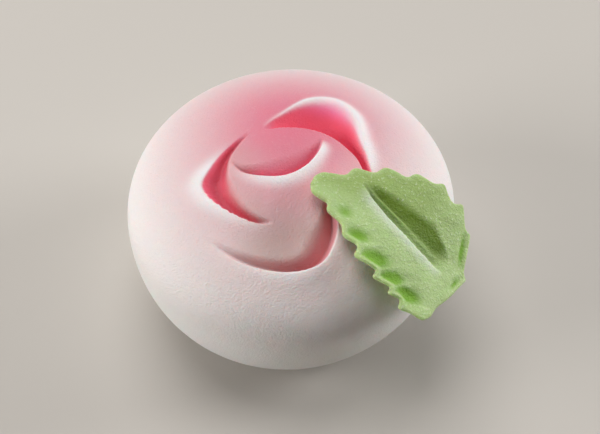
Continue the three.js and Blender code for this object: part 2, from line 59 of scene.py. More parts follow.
# ---- the four folds: stations along the deepest line, clockwise, so that the left is the outer side
# Each station: x, y, depth, width of the inner slope, width of the outer wall, height of the lip on it,
# width of the lip, redness, and how sharp the rim is.
FOLDS = {
    "back": (
        (-5.2, 5.2, 0.0, 0.3, 0.3, 0.00, 0.6, 0.3, 1.0),
        (-2.6, 6.1, 1.2, 0.4, 2.0, 0.15, 0.6, 0.9, 1.0),
        (0.6, 6.3, 2.2, 0.5, 5.1, 0.40, 0.8, 1.0, 0.9),
        (3.0, 5.9, 2.5, 0.5, 6.1, 0.60, 1.0, 1.0, 0.6),
        (5.2, 5.0, 2.4, 0.5, 4.7, 0.80, 1.5, 1.0, 0.2),
        (7.2, 3.5, 2.0, 0.5, 2.3, 0.85, 1.8, 1.0, 0.0),
        (8.9, 1.6, 1.6, 0.4, 1.1, 0.60, 1.6, 1.0, 0.3),
        (10.3, -1.4, 1.0, 0.4, 0.6, 0.10, 1.2, 0.8, 0.8),
        (10.9, -3.4, 0.0, 0.3, 0.4, 0.00, 1.2, 0.5, 1.0),
    ),
    "left": (
        (-2.3, -9.7, 0.0, 0.3, 0.3, 0.00, 1.2, 0.2, 1.0),
        (-4.8, -9.75, 0.8, 1.0, 0.4, 0.12, 1.2, 0.6, 1.0),
        (-7.7, -8.6, 1.3, 2.1, 0.6, 0.28, 1.5, 0.8, 1.0),
        (-9.7, -6.5, 1.3, 2.5, 1.5, 0.40, 1.8, 0.8, 0.9),
        (-10.25, -4.9, 1.2, 2.3, 2.35, 0.45, 1.9, 0.85, 0.7),
        (-10.3, -3.0, 1.1, 1.5, 1.75, 0.40, 1.9, 0.85, 0.5),
        (-9.9, -0.2, 0.9, 0.8, 0.85, 0.10, 1.4, 0.8, 0.2),
        (-8.6, 2.4, 0.6, 0.4, 0.5, 0.00, 1.0, 0.65, 0.0),
        (-6.9, 4.8, 0.0, 0.3, 0.4, 0.00, 1.0, 0.4, 0.0),
    ),
    "bud": (
        (3.2, 4.1, 0.0, 0.5, 0.3, 0.00, 1.0, 0.2, 1.0),
        (2.65, 1.85, 0.8, 1.5, 0.4, 0.50, 1.3, 0.35, 1.0),
        (1.1, -0.75, 1.2, 2.5, 0.5, 0.60, 1.6, 0.45, 1.0),
        (-1.5, -2.4, 1.3, 2.9, 0.5, 0.45, 1.6, 0.5, 1.0),
        (-4.6, -2.8, 1.1, 2.1, 0.4, 0.30, 1.5, 0.45, 1.0),
        (-7.2, -2.3, 0.6, 1.0, 0.4, 0.10, 1.2, 0.4, 1.0),
        (-9.0, -0.9, 0.0, 0.3, 0.3, 0.00, 1.0, 0.2, 1.0),
    ),
    "front": (
        (4.5, -5.4, 0.0, 0.4, 0.3, 0.00, 1.4, 0.4, 1.0),
        (5.8, -8.4, 1.0, 2.4, 0.3, 0.00, 1.4, 0.44, 1.0),
        (5.9, -11.6, 1.5, 3.6, 0.35, 0.10, 1.6, 0.44, 1.0),
        (4.5, -15.05, 1.6, 3.6, 0.35, 0.20, 1.8, 0.45, 1.0),
        (1.4, -16.6, 1.4, 2.6, 0.35, 0.32, 1.8, 0.42, 1.0),
        (-2.4, -16.6, 1.0, 1.9, 0.4, 0.20, 1.6, 0.28, 1.0),
        (-6.2, -15.6, 0.7, 1.3, 0.4, 0.08, 1.4, 0.15, 1.0),
        (-10.2, -13.4, 0.0, 0.4, 0.3, 0.00, 1.4, 0.0, 1.0),
    ),
}
FOLD_SAMPLES = 500                # places along a fold
FOLD_REACH = 9.0                  # a fold shapes and colours the paste this far from its deepest line
SLOPE_POWER = 1.7                 # how roundly a petal rolls down into its fold
# share of the wall that rounds the deepest line
VALLEYS = {"back": 0.4, "left": 0.8, "bud": 0.4, "front": 0.4}
# how hollow a wall with a sharp rim is
WALL_POWERS = {"back": 1.4, "left": 2.0, "bud": 1.4, "front": 1.4}
ENDS_WITHIN = 0.3                 # past its last station a fold stops within this distance
LIP_RUNS_ON = 3.0                 # and its lip within this one

TORN_FOLD = "left"                # its lower rim tore a little under the tool
TEAR_DEPTH = 0.2
TEAR_LENGTHS = (0.035, 0.014)     # of long and short tears, as shares of the fold's length
SHORT_TEARS = 0.6                 # how deep short tears are beside long ones
TEARS_FADE_IN = (0.02, 0.2)       # shares of the fold's length
TEARS_FADE_OUT = (0.62, 0.4)

DIPPING_FOLD = "front"            # the middle petal dips down to this one
DIPPING_REACH = 25.0              # the dip is worked out this far from it
PETAL_DIP = 1.7
DIP_PATCH = ((1.0, -13.0), (6.5, 7.0))      # middle and reach
DIP_EASES_OVER = (1.5, -1.5)      # beyond the fold's ends the dip eases out across its line
DIP_CHANGES_OVER = 2.0

# ---- colour inside and beside the folds
# share of the inner slope over which the red begins
REDDENS_OVER = {"back": 1.0, "left": 0.85, "bud": 0.9, "front": 0.6}
RED_FROM_DEPTH = 0.9              # a fold this deep has its full redness
RED_FADES_FROM = 0.8              # share of the red wall
RED_PAST_TOP = 0.15
# share of the wall that is pale at its top
PALE_INSIDE = {"back": 0.2, "left": 0.05, "bud": 0.1, "front": 0.1}
FULL_LIP = 0.8                    # a lip this high is pale for the whole of that share
GLOWING_LIP = 0.4                 # a lip this high is fully pale on its crest
CREST_PAST_RIM = 0.15
PALE_OUTSIDE = 0.8                # share of the lip's width
LEAST_PALE_INSIDE = 0.2
PALE_RUNS_ON = 1.0
# painted shade: a petal is darker where it turns down to its fold
TURNED_SHADE = {"back": 0.0, "left": 0.45, "bud": 0.0, "front": 0.35}
SHADE_COMES_OVER = (-7.0, -2.0)
SHADE_DEPTHS = (0.1, 1.0)
GLOW_COMES_OVER = (0.45, 0.85)   # shares of the wall
GLOW_GOES_OVER = (0.85, 1.15)
GLOW_PATCH = ((5.2, 10.2), (4.0, 3.4))      # painted light on the back fold's wall, for light coming through its lip: middle and reach
SHADE_PATCH = ((0.8, -13.0), (7.0, 5.5))    # painted shade on the middle petal: middle and reach

# ---- the blush over the crown and the back, and the shape the hands left
BLUSH_CENTRE = (-1.0, 7.0)
BLUSH_TO_SIDES = 16.0
BLUSH_TO_BACK = 13.0
BLUSH_TO_FRONT = 20.0
BLUSH_POWER = 2.2
RUBBED_OFF_LIPS = 0.8             # share of the blush
BUD_SWELL = 0.35
BUD_PATCH = ((-2.5, 3.2), (5.0, 2.6))
HAND_WAVE = 9.0
HAND_HEIGHT = 0.12
HAND_SINKS = 0.6                  # the uneven skin lies this share of its height below the dome
HAND_REACH = 26.0

# ---- the mesh of the ball
SECTORS = 520
CROWN_RINGS = 130
SHOULDER_RINGS = 24
LOWER_RINGS = 26
BASE_RINGS = 6
RINGS = CROWN_RINGS + SHOULDER_RINGS + LOWER_RINGS + BASE_RINGS
BELOW_WAIST = 99.0                # rings below the waist count as this far from the crown

# ---- the leaf, on the unrolled dome of its own upper face
LEAF_GAP = 0.4                    # between the leaf and the ball
LEAF_THICKNESS = 1.5
LEAF_RIM = 0.9                    # thickness at the edge
LEAF_THICKENS_OVER = 4.0
LEAF_LEAVES_AT = math.radians(36)  # where the dome is steeper, the leaf runs on straight
LEAF_TIP = (2.15, -5.1)
LEAF_END = (27.0, -12.8)
# corners of the teeth and of the notches between them, in turn, from the tip to the end
BACK_CORNERS = (
    (2.7, -3.8), (3.7, -3.1), (7.1, -3.2), (8.0, -1.7), (11.1, -2.2),
    (12.3, -0.8), (15.6, -2.0), (17.0, -0.6), (19.5, -1.8), (21.4, -0.8),
    (23.2, -3.4), (25.0, -2.6), (26.3, -6.3), (27.3, -6.6), (27.3, -8.9),
)
FRONT_CORNERS = (
    (2.4, -6.3), (3.2, -7.0), (4.8, -7.9), (4.6, -9.1), (6.9, -11.0),
    (6.9, -12.8), (9.3, -13.9), (8.4, -15.6), (12.0, -16.8), (11.2, -17.8),
    (14.0, -18.6), (13.4, -19.5), (15.9, -19.9), (15.4, -21.2), (17.4, -21.4),
    (19.0, -22.2), (20.8, -21.3), (21.6, -20.0), (24.2, -17.7), (27.4, -14.1),
)
CORNER_SHARE = 0.45               # share of a corner's shorter side that is rounded off
CORNER_MOST = 0.8                 # but no more than this
CORNER_STEPS = 8
END_STEPS = 400                   # steps along the leaf's tip and its end
LEAF_ROWS = 300
LEAF_COLUMNS = 96
LEAF_SPAN = 40.0                  # more than the leaf's length
MIDDLE_POWER = 0.5                # rows run ahead in the middle, to meet the front teeth squarely
LEAF_ROUNDING = 0.4               # width over which the edge is rounded
LEAF_EDGE_POWER = 2.4             # 2 is a round edge, more is a squarer one
BACK_LIFT = 1.0                   # how far the edges rise, so that the leaf is folded along its middle
FRONT_LIFT = 1.8
LIFT_FROM_TIP = 14.0              # from here on the rise is full
LIFT_POWER = 1.4
HALF_WIDTH = 10.0
WAVE_HEIGHT = 0.25
WAVE_LENGTH = 5.2
HAND_WAVE_ON_LEAF = 5.0
HAND_HEIGHT_ON_LEAF = 0.1
SHEEN_BESIDE = (0.25, -0.15)       # the painted whitish sheen lies before this share of the half width
SHEEN_FROM_TIP = (14.0, 24.0)      # and over the broad end
SHEEN_AT_END = 0.8
RIM_LIGHT_WIDTH = 1.2                    # the leaf's edge is painted paler over this width, for light through its thin rim

# ---- what is pressed into the leaf
RIB = ((9.4, -3.9), (12.5, -6.5), (14.6, -8.1), (16.4, -9.4), (18.2, -10.6), (20.2, -11.6), (23.7, -13.5))
RIB_DEPTH = 0.85
RIB_REACH = 6.0
RIB_STEPS = 400
# These change along the midrib: each pair is a share of its length and the size there.
# Width of the pressed slope behind it:
RIB_SLOPE = (
    (0, 0.6), (0.12, 1.4), (0.26, 2.0), (0.44, 2.9), (0.57, 3.4),
    (0.7, 3.7), (0.82, 2.9), (0.93, 2.1), (1, 0.9),
)
# How strongly it is pressed:
RIB_FADE = ((0, 0), (0.2, 1), (0.85, 0.9), (1, 0))
# Share of the slope over which its painted shade begins:
SHADE_SOFTNESS = ((0, 0.5), (0.45, 0.4), (0.75, 0.24))
# How far before it a fine groove runs:
FINE_GROOVE = ((0.1, 0.3), (0.35, 0.8), (1, 1.15))
FINE_GROOVE_DEPTH = 0.12
FINE_GROOVE_WIDTH = 0.28
RIB_RISE = 0.6                    # before the fine groove the leaf rises over this width
VEIN_HEIGHT = 0.28                # a thin raised line along the midrib
VEIN_WIDTH = 0.22
HIGHLIGHT_WIDTH = 0.9                 # painted highlight: whitish band before the fine groove, where the rise faces the light
HIGHLIGHT_PAST_RISE = 0.2
LIGHTER_BY_RIB = 0.25             # how much weaker the slope's painted shade is beside the midrib
GROOVE_SHADE = 0.8
RISE_SHADE = 0.5
VEIN_LIGHTENS = 0.6
# Hollows inside the teeth: place, direction in degrees, half length, half width, depth.
HOLLOWS = (
    ((7.2, -9.1), -28, 1.5, 1.1, 0.28),
    ((9.1, -12.4), -17, 2.0, 1.15, 0.36),
    ((11.5, -15.3), -4, 2.4, 1.25, 0.45),
    ((14.1, -17.4), 3, 2.1, 1.05, 0.45),
    ((16.6, -19.1), -8, 2.4, 1.1, 0.45),
    ((26.1, -9.8), 88, 3.0, 0.6, 0.34),
    ((25.3, -15.3), 55, 1.7, 0.65, 0.32),
)
DEEPEST_HOLLOW = 0.45
HOLLOWS_FADE_OVER = (0.1, 0.9)    # towards the leaf's edge
HOLLOW_GLOW = (0.15, 0.8)        # shares of the deepest hollow, over which the painted green of light through thinner paste comes in

# ---- the photograph's view, in its frame of 600 by 434 pixels
PICTURE_WIDTH = 600
PICTURE_CENTRE = (300.0, 217.0)
FOCAL_PIXELS = 1000.0
SENSOR = 36.0
VIEW_ELEVATION = math.radians(53.95)
VIEW_DISTANCE = 147.2
VIEW_ROLL = math.radians(-5.0)
WAIST_PIXEL = (292.4, 203.9)      # where the middle of the ball's waist is seen


# ---- the dome

def outline(angle):
    """Radius and height of the half outline: 90 degrees is the crown, -90 the rim of the underside."""
    across = np.clip(np.cos(angle), 0, 1)
    up = np.sin(angle)
    power = 2 / FULLNESS
    dome = RADIUS * across ** power, WAIST + (HEIGHT - WAIST) * np.clip(up, 0, 1) ** power
    foot = BASE_RADIUS + (RADIUS - BASE_RADIUS) * across, WAIST * (1 + np.minimum(up, 0))
    above = angle >= 0
    return np.where(above, dome[0], foot[0]), np.where(above, dome[1], foot[1])


def make_track(offset, leaves_at):
    """The dome's outline, set off outwards: each place's distance from the crown, place and normal."""
    radius, level = outline(np.linspace(math.pi / 2, 0, TRACK_STEPS + 1))
    along = np.stack([np.gradient(radius), np.gradient(level)], 1)
    along /= np.linalg.norm(along, axis=1, keepdims=True)
    normal = np.stack([-along[:, 1], along[:, 0]], 1)
    normal[0] = (0, 1)
    kept = np.arctan2(normal[:, 0], normal[:, 1]) <= leaves_at
    normal = normal[kept]
    place = np.stack([radius, level], 1)[kept] + offset * normal
    straight_on = np.array([normal[-1, 1], -normal[-1, 0]])
    place = np.vstack([place, place[-1] + TRACK_RUNS_ON * straight_on])
    normal = np.vstack([normal, normal[-1]])
    walked = np.concatenate([[0], np.cumsum(np.linalg.norm(np.diff(place, axis=0), axis=1))])
    return walked, place, normal


def swing(radius, level, normal, azimuth, height):
    """Turn a half outline's points round the ball's axis, lifted by height along their normals."""
    stretch = 1 + OVAL * np.cos(2 * (azimuth - OVAL_TURN))
    out = radius * stretch + normal[:, 0] * height
    return np.stack([out * np.cos(azimuth), out * np.sin(azimuth), level + normal[:, 1] * height], 1)


def on_dome(track, x, y, height):
    """Points over the unrolled dome, lifted by height along the normal."""
    walked, place, normal = track
    distance = np.hypot(x, y)
    radius, level, across, up = (np.interp(distance, walked, v) for v in (*place.T, *normal.T))
    return swing(radius, level, np.stack([across, up], 1), np.arctan2(y, x), height)


# ---- curves and noise

WAVES = 9                         # waves in one unevenness
WAVE_SPREAD = (0.7, 1.5)          # the shortest and the longest, as shares of their common length


def smooth_row(stations, samples):
    """A uniform Catmull-Rom curve through rows of numbers."""
    rows = np.array(stations, float)
    rows = np.vstack([2 * rows[0] - rows[1], rows, 2 * rows[-1] - rows[-2]])
    spans = len(rows) - 3
    t = np.linspace(0, spans, samples)
    k = np.minimum(t.astype(int), spans - 1)
    t = (t - k)[:, None]
    a, b, c, d = rows[k], rows[k + 1], rows[k + 2], rows[k + 3]
    square, cube = 2 * a - 5 * b + 4 * c - d, 3 * b - a - 3 * c + d
    return 0.5 * (2 * b + (c - a) * t + square * t ** 2 + cube * t ** 3)


def even_steps(points, steps):
    """Equal steps along a row of points."""
    walked = np.concatenate([[0], np.cumsum(np.linalg.norm(np.diff(points, axis=0), axis=1))])
    wanted = np.linspace(0, walked[-1], steps + 1)
    return np.stack([np.interp(wanted, walked, axis) for axis in points.T], 1)


def smoothstep(low, high, value):
    """0 up to low, 1 from high on, and a smooth change between them."""
    share = np.clip((value - low) / (high - low), 0, 1)
    return share * share * (3 - 2 * share)


def nearest_on(line, points, reach):
    """Index of a line's nearest place for each point, and the gap to it, infinite well out of reach."""
    index = np.zeros(len(points), int)
    gap = np.full(len(points), np.inf)
    tree = KDTree(len(line))
    for number, place in enumerate(line):
        tree.insert((*place, 0), number)
    tree.balance()
    low, high = line.min(0) - reach, line.max(0) + reach
    for number in np.where(((points > low) & (points < high)).all(1))[0]:
        _, index[number], gap[number] = tree.find((*points[number], 0))
    return index, gap


def unevenness(points, wave, seed):
    """Soft hand-made unevenness, between -1 and 1, from a few waves in seeded directions."""
    draw = np.random.default_rng(seed)
    total = np.zeros(len(points))
    for _ in range(WAVES):
        direction = draw.normal(size=points.shape[1])
        direction /= np.linalg.norm(direction)
        length = wave * draw.uniform(*WAVE_SPREAD)
        start = draw.uniform(0, 2 * math.pi)
        total += np.sin(points @ direction * 2 * math.pi / length + start)
    return total / WAVES


# ---- the folds

class Fold:
    """Where points lie on a fold: how far to its outer side, past its ends, and its sizes there."""

    def __init__(self, name, points, reach):
        rows = smooth_row(FOLDS[name], FOLD_SAMPLES)
        line = rows[:, :2]
        along = np.gradient(line, axis=0)
        along /= np.linalg.norm(along, axis=1, keepdims=True)
        outward = np.stack([-along[:, 1], along[:, 0]], 1)
        index, gap = nearest_on(line, points, reach)
        self.name = name
        self.near = np.where(gap < reach)[0]
        index = index[self.near]
        away = points[self.near] - line[index]
        self.side = (away * outward[index]).sum(1)
        self.past = np.abs((away * along[index]).sum(1))
        share = index / (FOLD_SAMPLES - 1)
        sizes = np.maximum(rows[index].T[2:], 0)
        self.depth, self.inner, self.outer, self.lip, self.lip_width, self.redness, self.sharp = sizes
        self.torn = self.outer + (torn_rim(share) if name == TORN_FOLD else 0)

    def climb(self):
        """How far up the outer wall, from 0 at the deepest line to 1 at the lip."""
        across = np.clip(self.side / self.torn, 0, 1)
        return self.sharp * across ** WALL_POWERS[self.name] + (1 - self.sharp) * smoothstep(0, 1, across)

    def section(self):
        """Height across the fold: a slope that rolls in from the petal, then a wall up to the lip."""
        valley = VALLEYS[self.name] * self.outer
        inwards = np.sqrt(np.minimum(self.side, 0) ** 2 + valley ** 2) - valley
        rolled = inwards / (np.sqrt(self.inner ** 2 + valley ** 2) - valley)
        slope = -self.depth * np.clip(1 - rolled, 0, 1) ** SLOPE_POWER
        wall = -self.depth + (self.depth + self.lip) * self.climb()
        return np.where(self.side < 0, slope, wall)

    def inside(self):
        return (self.side > -self.inner) & (self.side < self.torn) & (self.past < ENDS_WITHIN)

    def lip_height(self):
        crest = self.lip * np.exp(-((self.side - self.outer) / self.lip_width) ** 2)
        return np.where((self.side >= self.torn) & (self.past < LIP_RUNS_ON), crest, 0)

    def within(self):
        """1 on the inner side of the fold, easing to 0 up its wall."""
        across = np.where(self.side < 0, 1, 1 - self.climb())
        beyond = smoothstep(*DIP_EASES_OVER, self.side)
        return across + (beyond - across) * smoothstep(0, DIP_CHANGES_OVER, self.past)

    def pale_width(self):
        """How far down the wall its pale rim reaches."""
        return PALE_INSIDE[self.name] * self.outer * np.clip(self.lip / FULL_LIP, 0, 1)

    def red(self):
        """Redness of the fold, which fades in down the slope and out below the pale rim of the wall."""
        top = self.torn - self.pale_width()
        fade_in = smoothstep(0, REDDENS_OVER[self.name], 1 + self.side / self.inner)
        fade_out = 1 - smoothstep(RED_FADES_FROM * top, top + RED_PAST_TOP, self.side)
        strength = np.where(self.side < 0, fade_in, fade_out)
        strength *= smoothstep(0, RED_FROM_DEPTH, self.depth) * self.redness
        return np.where(self.past < ENDS_WITHIN, strength, 0)

    def white(self):
        """Paleness of the lip, partly its white paste rubbed free of blush and partly a painted highlight
        where its crest catches the light; it runs out over the next petal and a little way down the wall.
        """
        past_crest = self.side - self.outer - CREST_PAST_RIM
        outside = PALE_OUTSIDE * self.lip_width
        spread = np.where(past_crest > 0, outside, LEAST_PALE_INSIDE + self.pale_width())
        glow = np.clip(self.lip / GLOWING_LIP, 0, 1) * np.exp(-(past_crest / spread) ** 2)
        return np.where(self.past < PALE_RUNS_ON, glow, 0)

    def shaded_petal(self):
        """Painted shade on the petal's surface where it turns down towards the fold, easing out up the
        wall.
        """
        turned = np.where(self.side < 0, smoothstep(*SHADE_COMES_OVER, self.side), 1 - self.climb())
        shading = TURNED_SHADE[self.name] * turned * smoothstep(*SHADE_DEPTHS, self.depth)
        return np.where(self.past < ENDS_WITHIN, shading, 0)

    def lit_wall_band(self):
        """A band along the top of the wall, painted brighter for light coming through the lip."""
        share = self.side / self.outer
        band = smoothstep(*GLOW_COMES_OVER, share) * (1 - smoothstep(*GLOW_GOES_OVER, share))
        return np.where(self.past < ENDS_WITHIN, band, 0)


def fold_relief(points):
    """Height of the pressed top over the dome, and masks for the colours of folds, lips and petals,
    painted shade and painted light among them.
    """
    pressed = np.zeros(len(points))
    lies_in = np.zeros(len(points), bool)
    lifted = np.zeros(len(points))
    red = np.zeros(len(points))
    white = np.zeros(len(points))
    rosy = np.zeros(len(points))
    dip = np.zeros(len(points))
    # painted shade: the middle petal and the petals' turned-down edges are darkened
    painted_shade = patch(points, *SHADE_PATCH)
    for name in FOLDS:
        fold = Fold(name, points, DIPPING_REACH if name == DIPPING_FOLD else FOLD_REACH)
        near = fold.near
        height = fold.section()
        inside = fold.inside()
        deeper = inside & (~lies_in[near] | (height < pressed[near]))
        pressed[near] = np.where(deeper, height, pressed[near])
        lies_in[near] |= inside
        lifted[near] = np.maximum(lifted[near], fold.lip_height())
        red[near] = np.maximum(red[near], fold.red())
        white[near] = np.maximum(white[near], fold.white())
        # painted light along the tops of the walls, kept to the back fold by its patch
        rosy[near] = np.maximum(rosy[near], fold.lit_wall_band())
        painted_shade[near] = np.minimum(painted_shade[near] + fold.shaded_petal(), 1)
        if name == DIPPING_FOLD:
            dip[near] = fold.within() * PETAL_DIP * patch(points[near], *DIP_PATCH)
    masks = {
        "redness": red,
        "pale_lit_lips": white,
        "wall_glow": rosy * patch(points, *GLOW_PATCH),
        "petal_shade": painted_shade * (1 - white),
        "pinkness": pinkness(points, white),
    }
    return np.where(lies_in, pressed, 0) + lifted - dip, masks


def patch(points, middle, reach):
    """A soft round patch, 1 in its middle."""
    away = (points - np.array(middle)) / np.array(reach)
    return np.exp(-(away ** 2).sum(1))


def torn_rim(share):
    """Small tears along a fold's outer rim, where it was pressed hardest."""
    long_tears = unevenness(share[:, None], TEAR_LENGTHS[0], seed=5)
    short_tears = unevenness(share[:, None], TEAR_LENGTHS[1], seed=6)
    fade = smoothstep(*TEARS_FADE_IN, share) * smoothstep(*TEARS_FADE_OUT, share)
    return TEAR_DEPTH * (long_tears + SHORT_TEARS * short_tears) * fade


# ---- pieces

def only(piece):
    """Select one piece alone."""
    bpy.ops.object.select_all(action="DESELECT")
    piece.select_set(True)
    bpy.context.view_layer.objects.active = piece


def read_points(mesh):
    points = np.empty(3 * len(mesh.vertices))
    mesh.vertices.foreach_get("co", points)
    return points.reshape(-1, 3)


def write_points(mesh, points):
    """Move a mesh's points to places in millimetres."""
    mesh.vertices.foreach_set("co", (points * MM).ravel())
    mesh.update()


def write_mask(mesh, name, values):
    layer = mesh.attributes.new(name, "FLOAT", "POINT")
    layer.data.foreach_set("value", np.asarray(values, np.float32))


def ring_table():
    """The ball's rings from the crown down: how far each lies from the crown, and its half outline."""
    walked, place, normal = make_track(0.0, math.pi / 2)
    waist_walk = walked[-2]
    walk = np.concatenate([
        np.linspace(0, PETAL_REACH, CROWN_RINGS + 1),
        np.linspace(PETAL_REACH, waist_walk, SHOULDER_RINGS + 1)[1:],
    ])
    dome = np.stack([np.interp(walk, walked, v) for v in (*place.T, *normal.T)], 1)
    angle = np.linspace(0, -math.pi / 2, LOWER_RINGS + 1)[1:]
    radius, level = outline(angle)
    foot = np.stack([radius, level, np.cos(angle), np.sin(angle)], 1)
    base_radius = np.linspace(BASE_RADIUS, 0, BASE_RINGS + 1)[1:]
    nought = np.zeros(BASE_RINGS)
    base = np.stack([base_radius, nought, nought, nought - 1], 1)
    beyond_petals = np.full(LOWER_RINGS + BASE_RINGS, BELOW_WAIST)
    return np.concatenate([walk, beyond_petals]), np.vstack([dome, foot, base])


def make_rose():
    """The ball: a sheet rolled round the axis, from the crown down to the middle of the underside."""
    bpy.ops.object.select_all(action="DESELECT")
    bpy.ops.mesh.primitive_grid_add(x_subdivisions=SECTORS, y_subdivisions=RINGS, size=1.0)
    rose = bpy.context.object
    rose.name = "rose_paste"
    sheet = read_points(rose.data) + 0.5
    azimuth = sheet[:, 0] * 2 * math.pi
    ring = np.rint((1 - sheet[:, 1]) * RINGS).astype(int)
    walk, halves = ring_table()
    half = halves[ring]
    flat = np.stack([np.cos(azimuth), np.sin(azimuth)], 1) * walk[ring][:, None]
    height, masks = fold_relief(flat)
    height += pillow(flat) + hand_shaping(flat, walk[ring])
    points = swing(half[:, 0], half[:, 1], half[:, 2:], azimuth, height)
    points[ring >= RINGS - BASE_RINGS, 2] = 0.0
    write_points(rose.data, points)
    for name, values in masks.items():
        write_mask(rose.data, name, values)
    close_mesh(rose)
    soften = rose.modifiers.new("soften", "SMOOTH")
    soften.factor = 0.5
    soften.iterations = 1
    bpy.ops.object.modifier_apply(modifier=soften.name)
    bpy.ops.object.shade_smooth()
    return rose


def pillow(flat):
    """The bud swells a little between its folds."""
    return BUD_SWELL * patch(flat, *BUD_PATCH)


def hand_shaping(flat, walk):
    """The slightly uneven skin of a ball that was rolled by hand, fading out below the shoulder."""
    fade = np.clip(1 - walk / HAND_REACH, 0, 1)
    return HAND_HEIGHT * fade * (unevenness(flat, HAND_WAVE, seed=3) - HAND_SINKS)


def pinkness(flat, white):
    """The blush over the crown and the back, which thins out to cream towards the sides and the front."""
    x, y = (flat - np.array(BLUSH_CENTRE)).T
    away = np.hypot(x / BLUSH_TO_SIDES, y / np.where(y > 0, BLUSH_TO_BACK, BLUSH_TO_FRONT))
    return np.exp(-away ** BLUSH_POWER) * (1 - RUBBED_OFF_LIPS * white)


def middle_of(first, second):
    return tuple((a + b) / 2 for a, b in zip(first, second))


def rounded(corners, steps):
    """Equal steps along straight lines through corners, each corner rounded off by a curve."""
    corners = np.array(corners)
    t = np.linspace(0, 1, CORNER_STEPS + 1)[:, None]
    path = [corners[:1]]
    for before, corner, after in zip(corners, corners[1:], corners[2:]):
        sides = np.linalg.norm(before - corner), np.linalg.norm(after - corner)
        cut = min(CORNER_MOST, CORNER_SHARE * min(sides))
        start = corner + (before - corner) * cut / sides[0]
        finish = corner + (after - corner) * cut / sides[1]
        path.append((1 - t) ** 2 * start + 2 * t * (1 - t) * corner + t ** 2 * finish)
    path.append(corners[-1:])
    return even_steps(np.vstack(path), steps)


def through(front, middle, back, across):
    """Places on the lines from the front through the middle to the back."""
    first, second = np.minimum(2 * across, 1), np.maximum(2 * across - 1, 0)
    before_middle = (1 - first) * front + first * middle
    past_middle = (1 - second) * middle + second * back
    return np.where(across < 0.5, before_middle, past_middle)


def leaf_sheet(row, across):
    """Places over the whole leaf, filled in between its four edges, and its rim."""
    tip_back = middle_of(LEAF_TIP, BACK_CORNERS[0])
    tip_front = middle_of(LEAF_TIP, FRONT_CORNERS[0])
    end_back = middle_of(LEAF_END, BACK_CORNERS[-1])
    end_front = middle_of(LEAF_END, FRONT_CORNERS[-1])
    back = rounded((tip_back, *BACK_CORNERS, end_back), LEAF_ROWS)
    front = rounded((tip_front, *FRONT_CORNERS, end_front), LEAF_ROWS)
    tip = rounded((tip_front, LEAF_TIP, tip_back), END_STEPS)
    end = rounded((end_front, LEAF_END, end_back), END_STEPS)
    rim = np.vstack([back, end[::-1], front[::-1], tip])
    r, c = (row / LEAF_ROWS)[:, None], across[:, None]
    place = np.rint(across * END_STEPS).astype(int)
    middle = np.array(LEAF_TIP) + r ** MIDDLE_POWER * (np.array(LEAF_END) - np.array(LEAF_TIP))
    between_sides = through(front[row], middle, back[row], c)
    between_ends = (1 - r) * tip[place] + r * end[place]
    at_tip = through(tip[0], np.array(LEAF_TIP), tip[-1], c)
    at_end = through(end[0], np.array(LEAF_END), end[-1], c)
    corners = (1 - r) * at_tip + r * at_end
    return between_sides + between_ends - corners, rim


def by_share(stations, share):
    """A size that changes along a line, given at some shares of its length."""
    return np.interp(share, *zip(*stations))


def rib_relief(flat):
    """The pressed midrib, its painted shade and the painted highlight beside it.

    Behind its thin raised vein lies a wide slope, before it a fine groove and a short rise.
    """
    line = even_steps(smooth_row(RIB, RIB_STEPS), RIB_STEPS)
    index, gap = nearest_on(line, flat, RIB_REACH)
    gap = np.minimum(gap, RIB_REACH)
    along = np.gradient(line, axis=0)[index]
    away = flat - line[index]
    behind = along[:, 0] * away[:, 1] - along[:, 1] * away[:, 0] > 0
    before = np.where(behind, -gap, gap)
    share = index / RIB_STEPS
    fade = smoothstep(0, 1, by_share(RIB_FADE, share)) * (gap < RIB_REACH)
    groove_at = by_share(FINE_GROOVE, share)
    slope = np.clip(1 - gap / by_share(RIB_SLOPE, share), 0, 1)
    rise = 1 - smoothstep(groove_at, groove_at + RIB_RISE, gap)
    vein = np.exp(-(gap / VEIN_WIDTH) ** 2)
    groove = np.exp(-((before - groove_at) / FINE_GROOVE_WIDTH) ** 2)
    painted_highlight = np.exp(-((before - groove_at - RIB_RISE - HIGHLIGHT_PAST_RISE) / HIGHLIGHT_WIDTH) ** 2)
    sunk = RIB_DEPTH * np.where(behind, slope, rise)
    relief = fade * (sunk - VEIN_HEIGHT * vein + FINE_GROOVE_DEPTH * groove)
    shade = smoothstep(0, by_share(SHADE_SOFTNESS, share), slope) * (1 - LIGHTER_BY_RIB * slope)
    dark = np.where(behind, shade, np.maximum(GROOVE_SHADE * groove, RISE_SHADE * rise))
    return relief, fade * dark * (1 - VEIN_LIGHTENS * vein), fade * painted_highlight


def hollow_relief(flat):
    """Depth of the soft hollows pressed inside the teeth."""
    total = np.zeros(len(flat))
    for centre, turn, half_length, half_width, depth in HOLLOWS:
        turn = math.radians(turn)
        away = flat - np.array(centre)
        along = (away[:, 0] * math.cos(turn) + away[:, 1] * math.sin(turn)) / half_length
        across = (away[:, 1] * math.cos(turn) - away[:, 0] * math.sin(turn)) / half_width
        total = np.maximum(total, depth * np.exp(-(along ** 2 + across ** 2)))
    return total


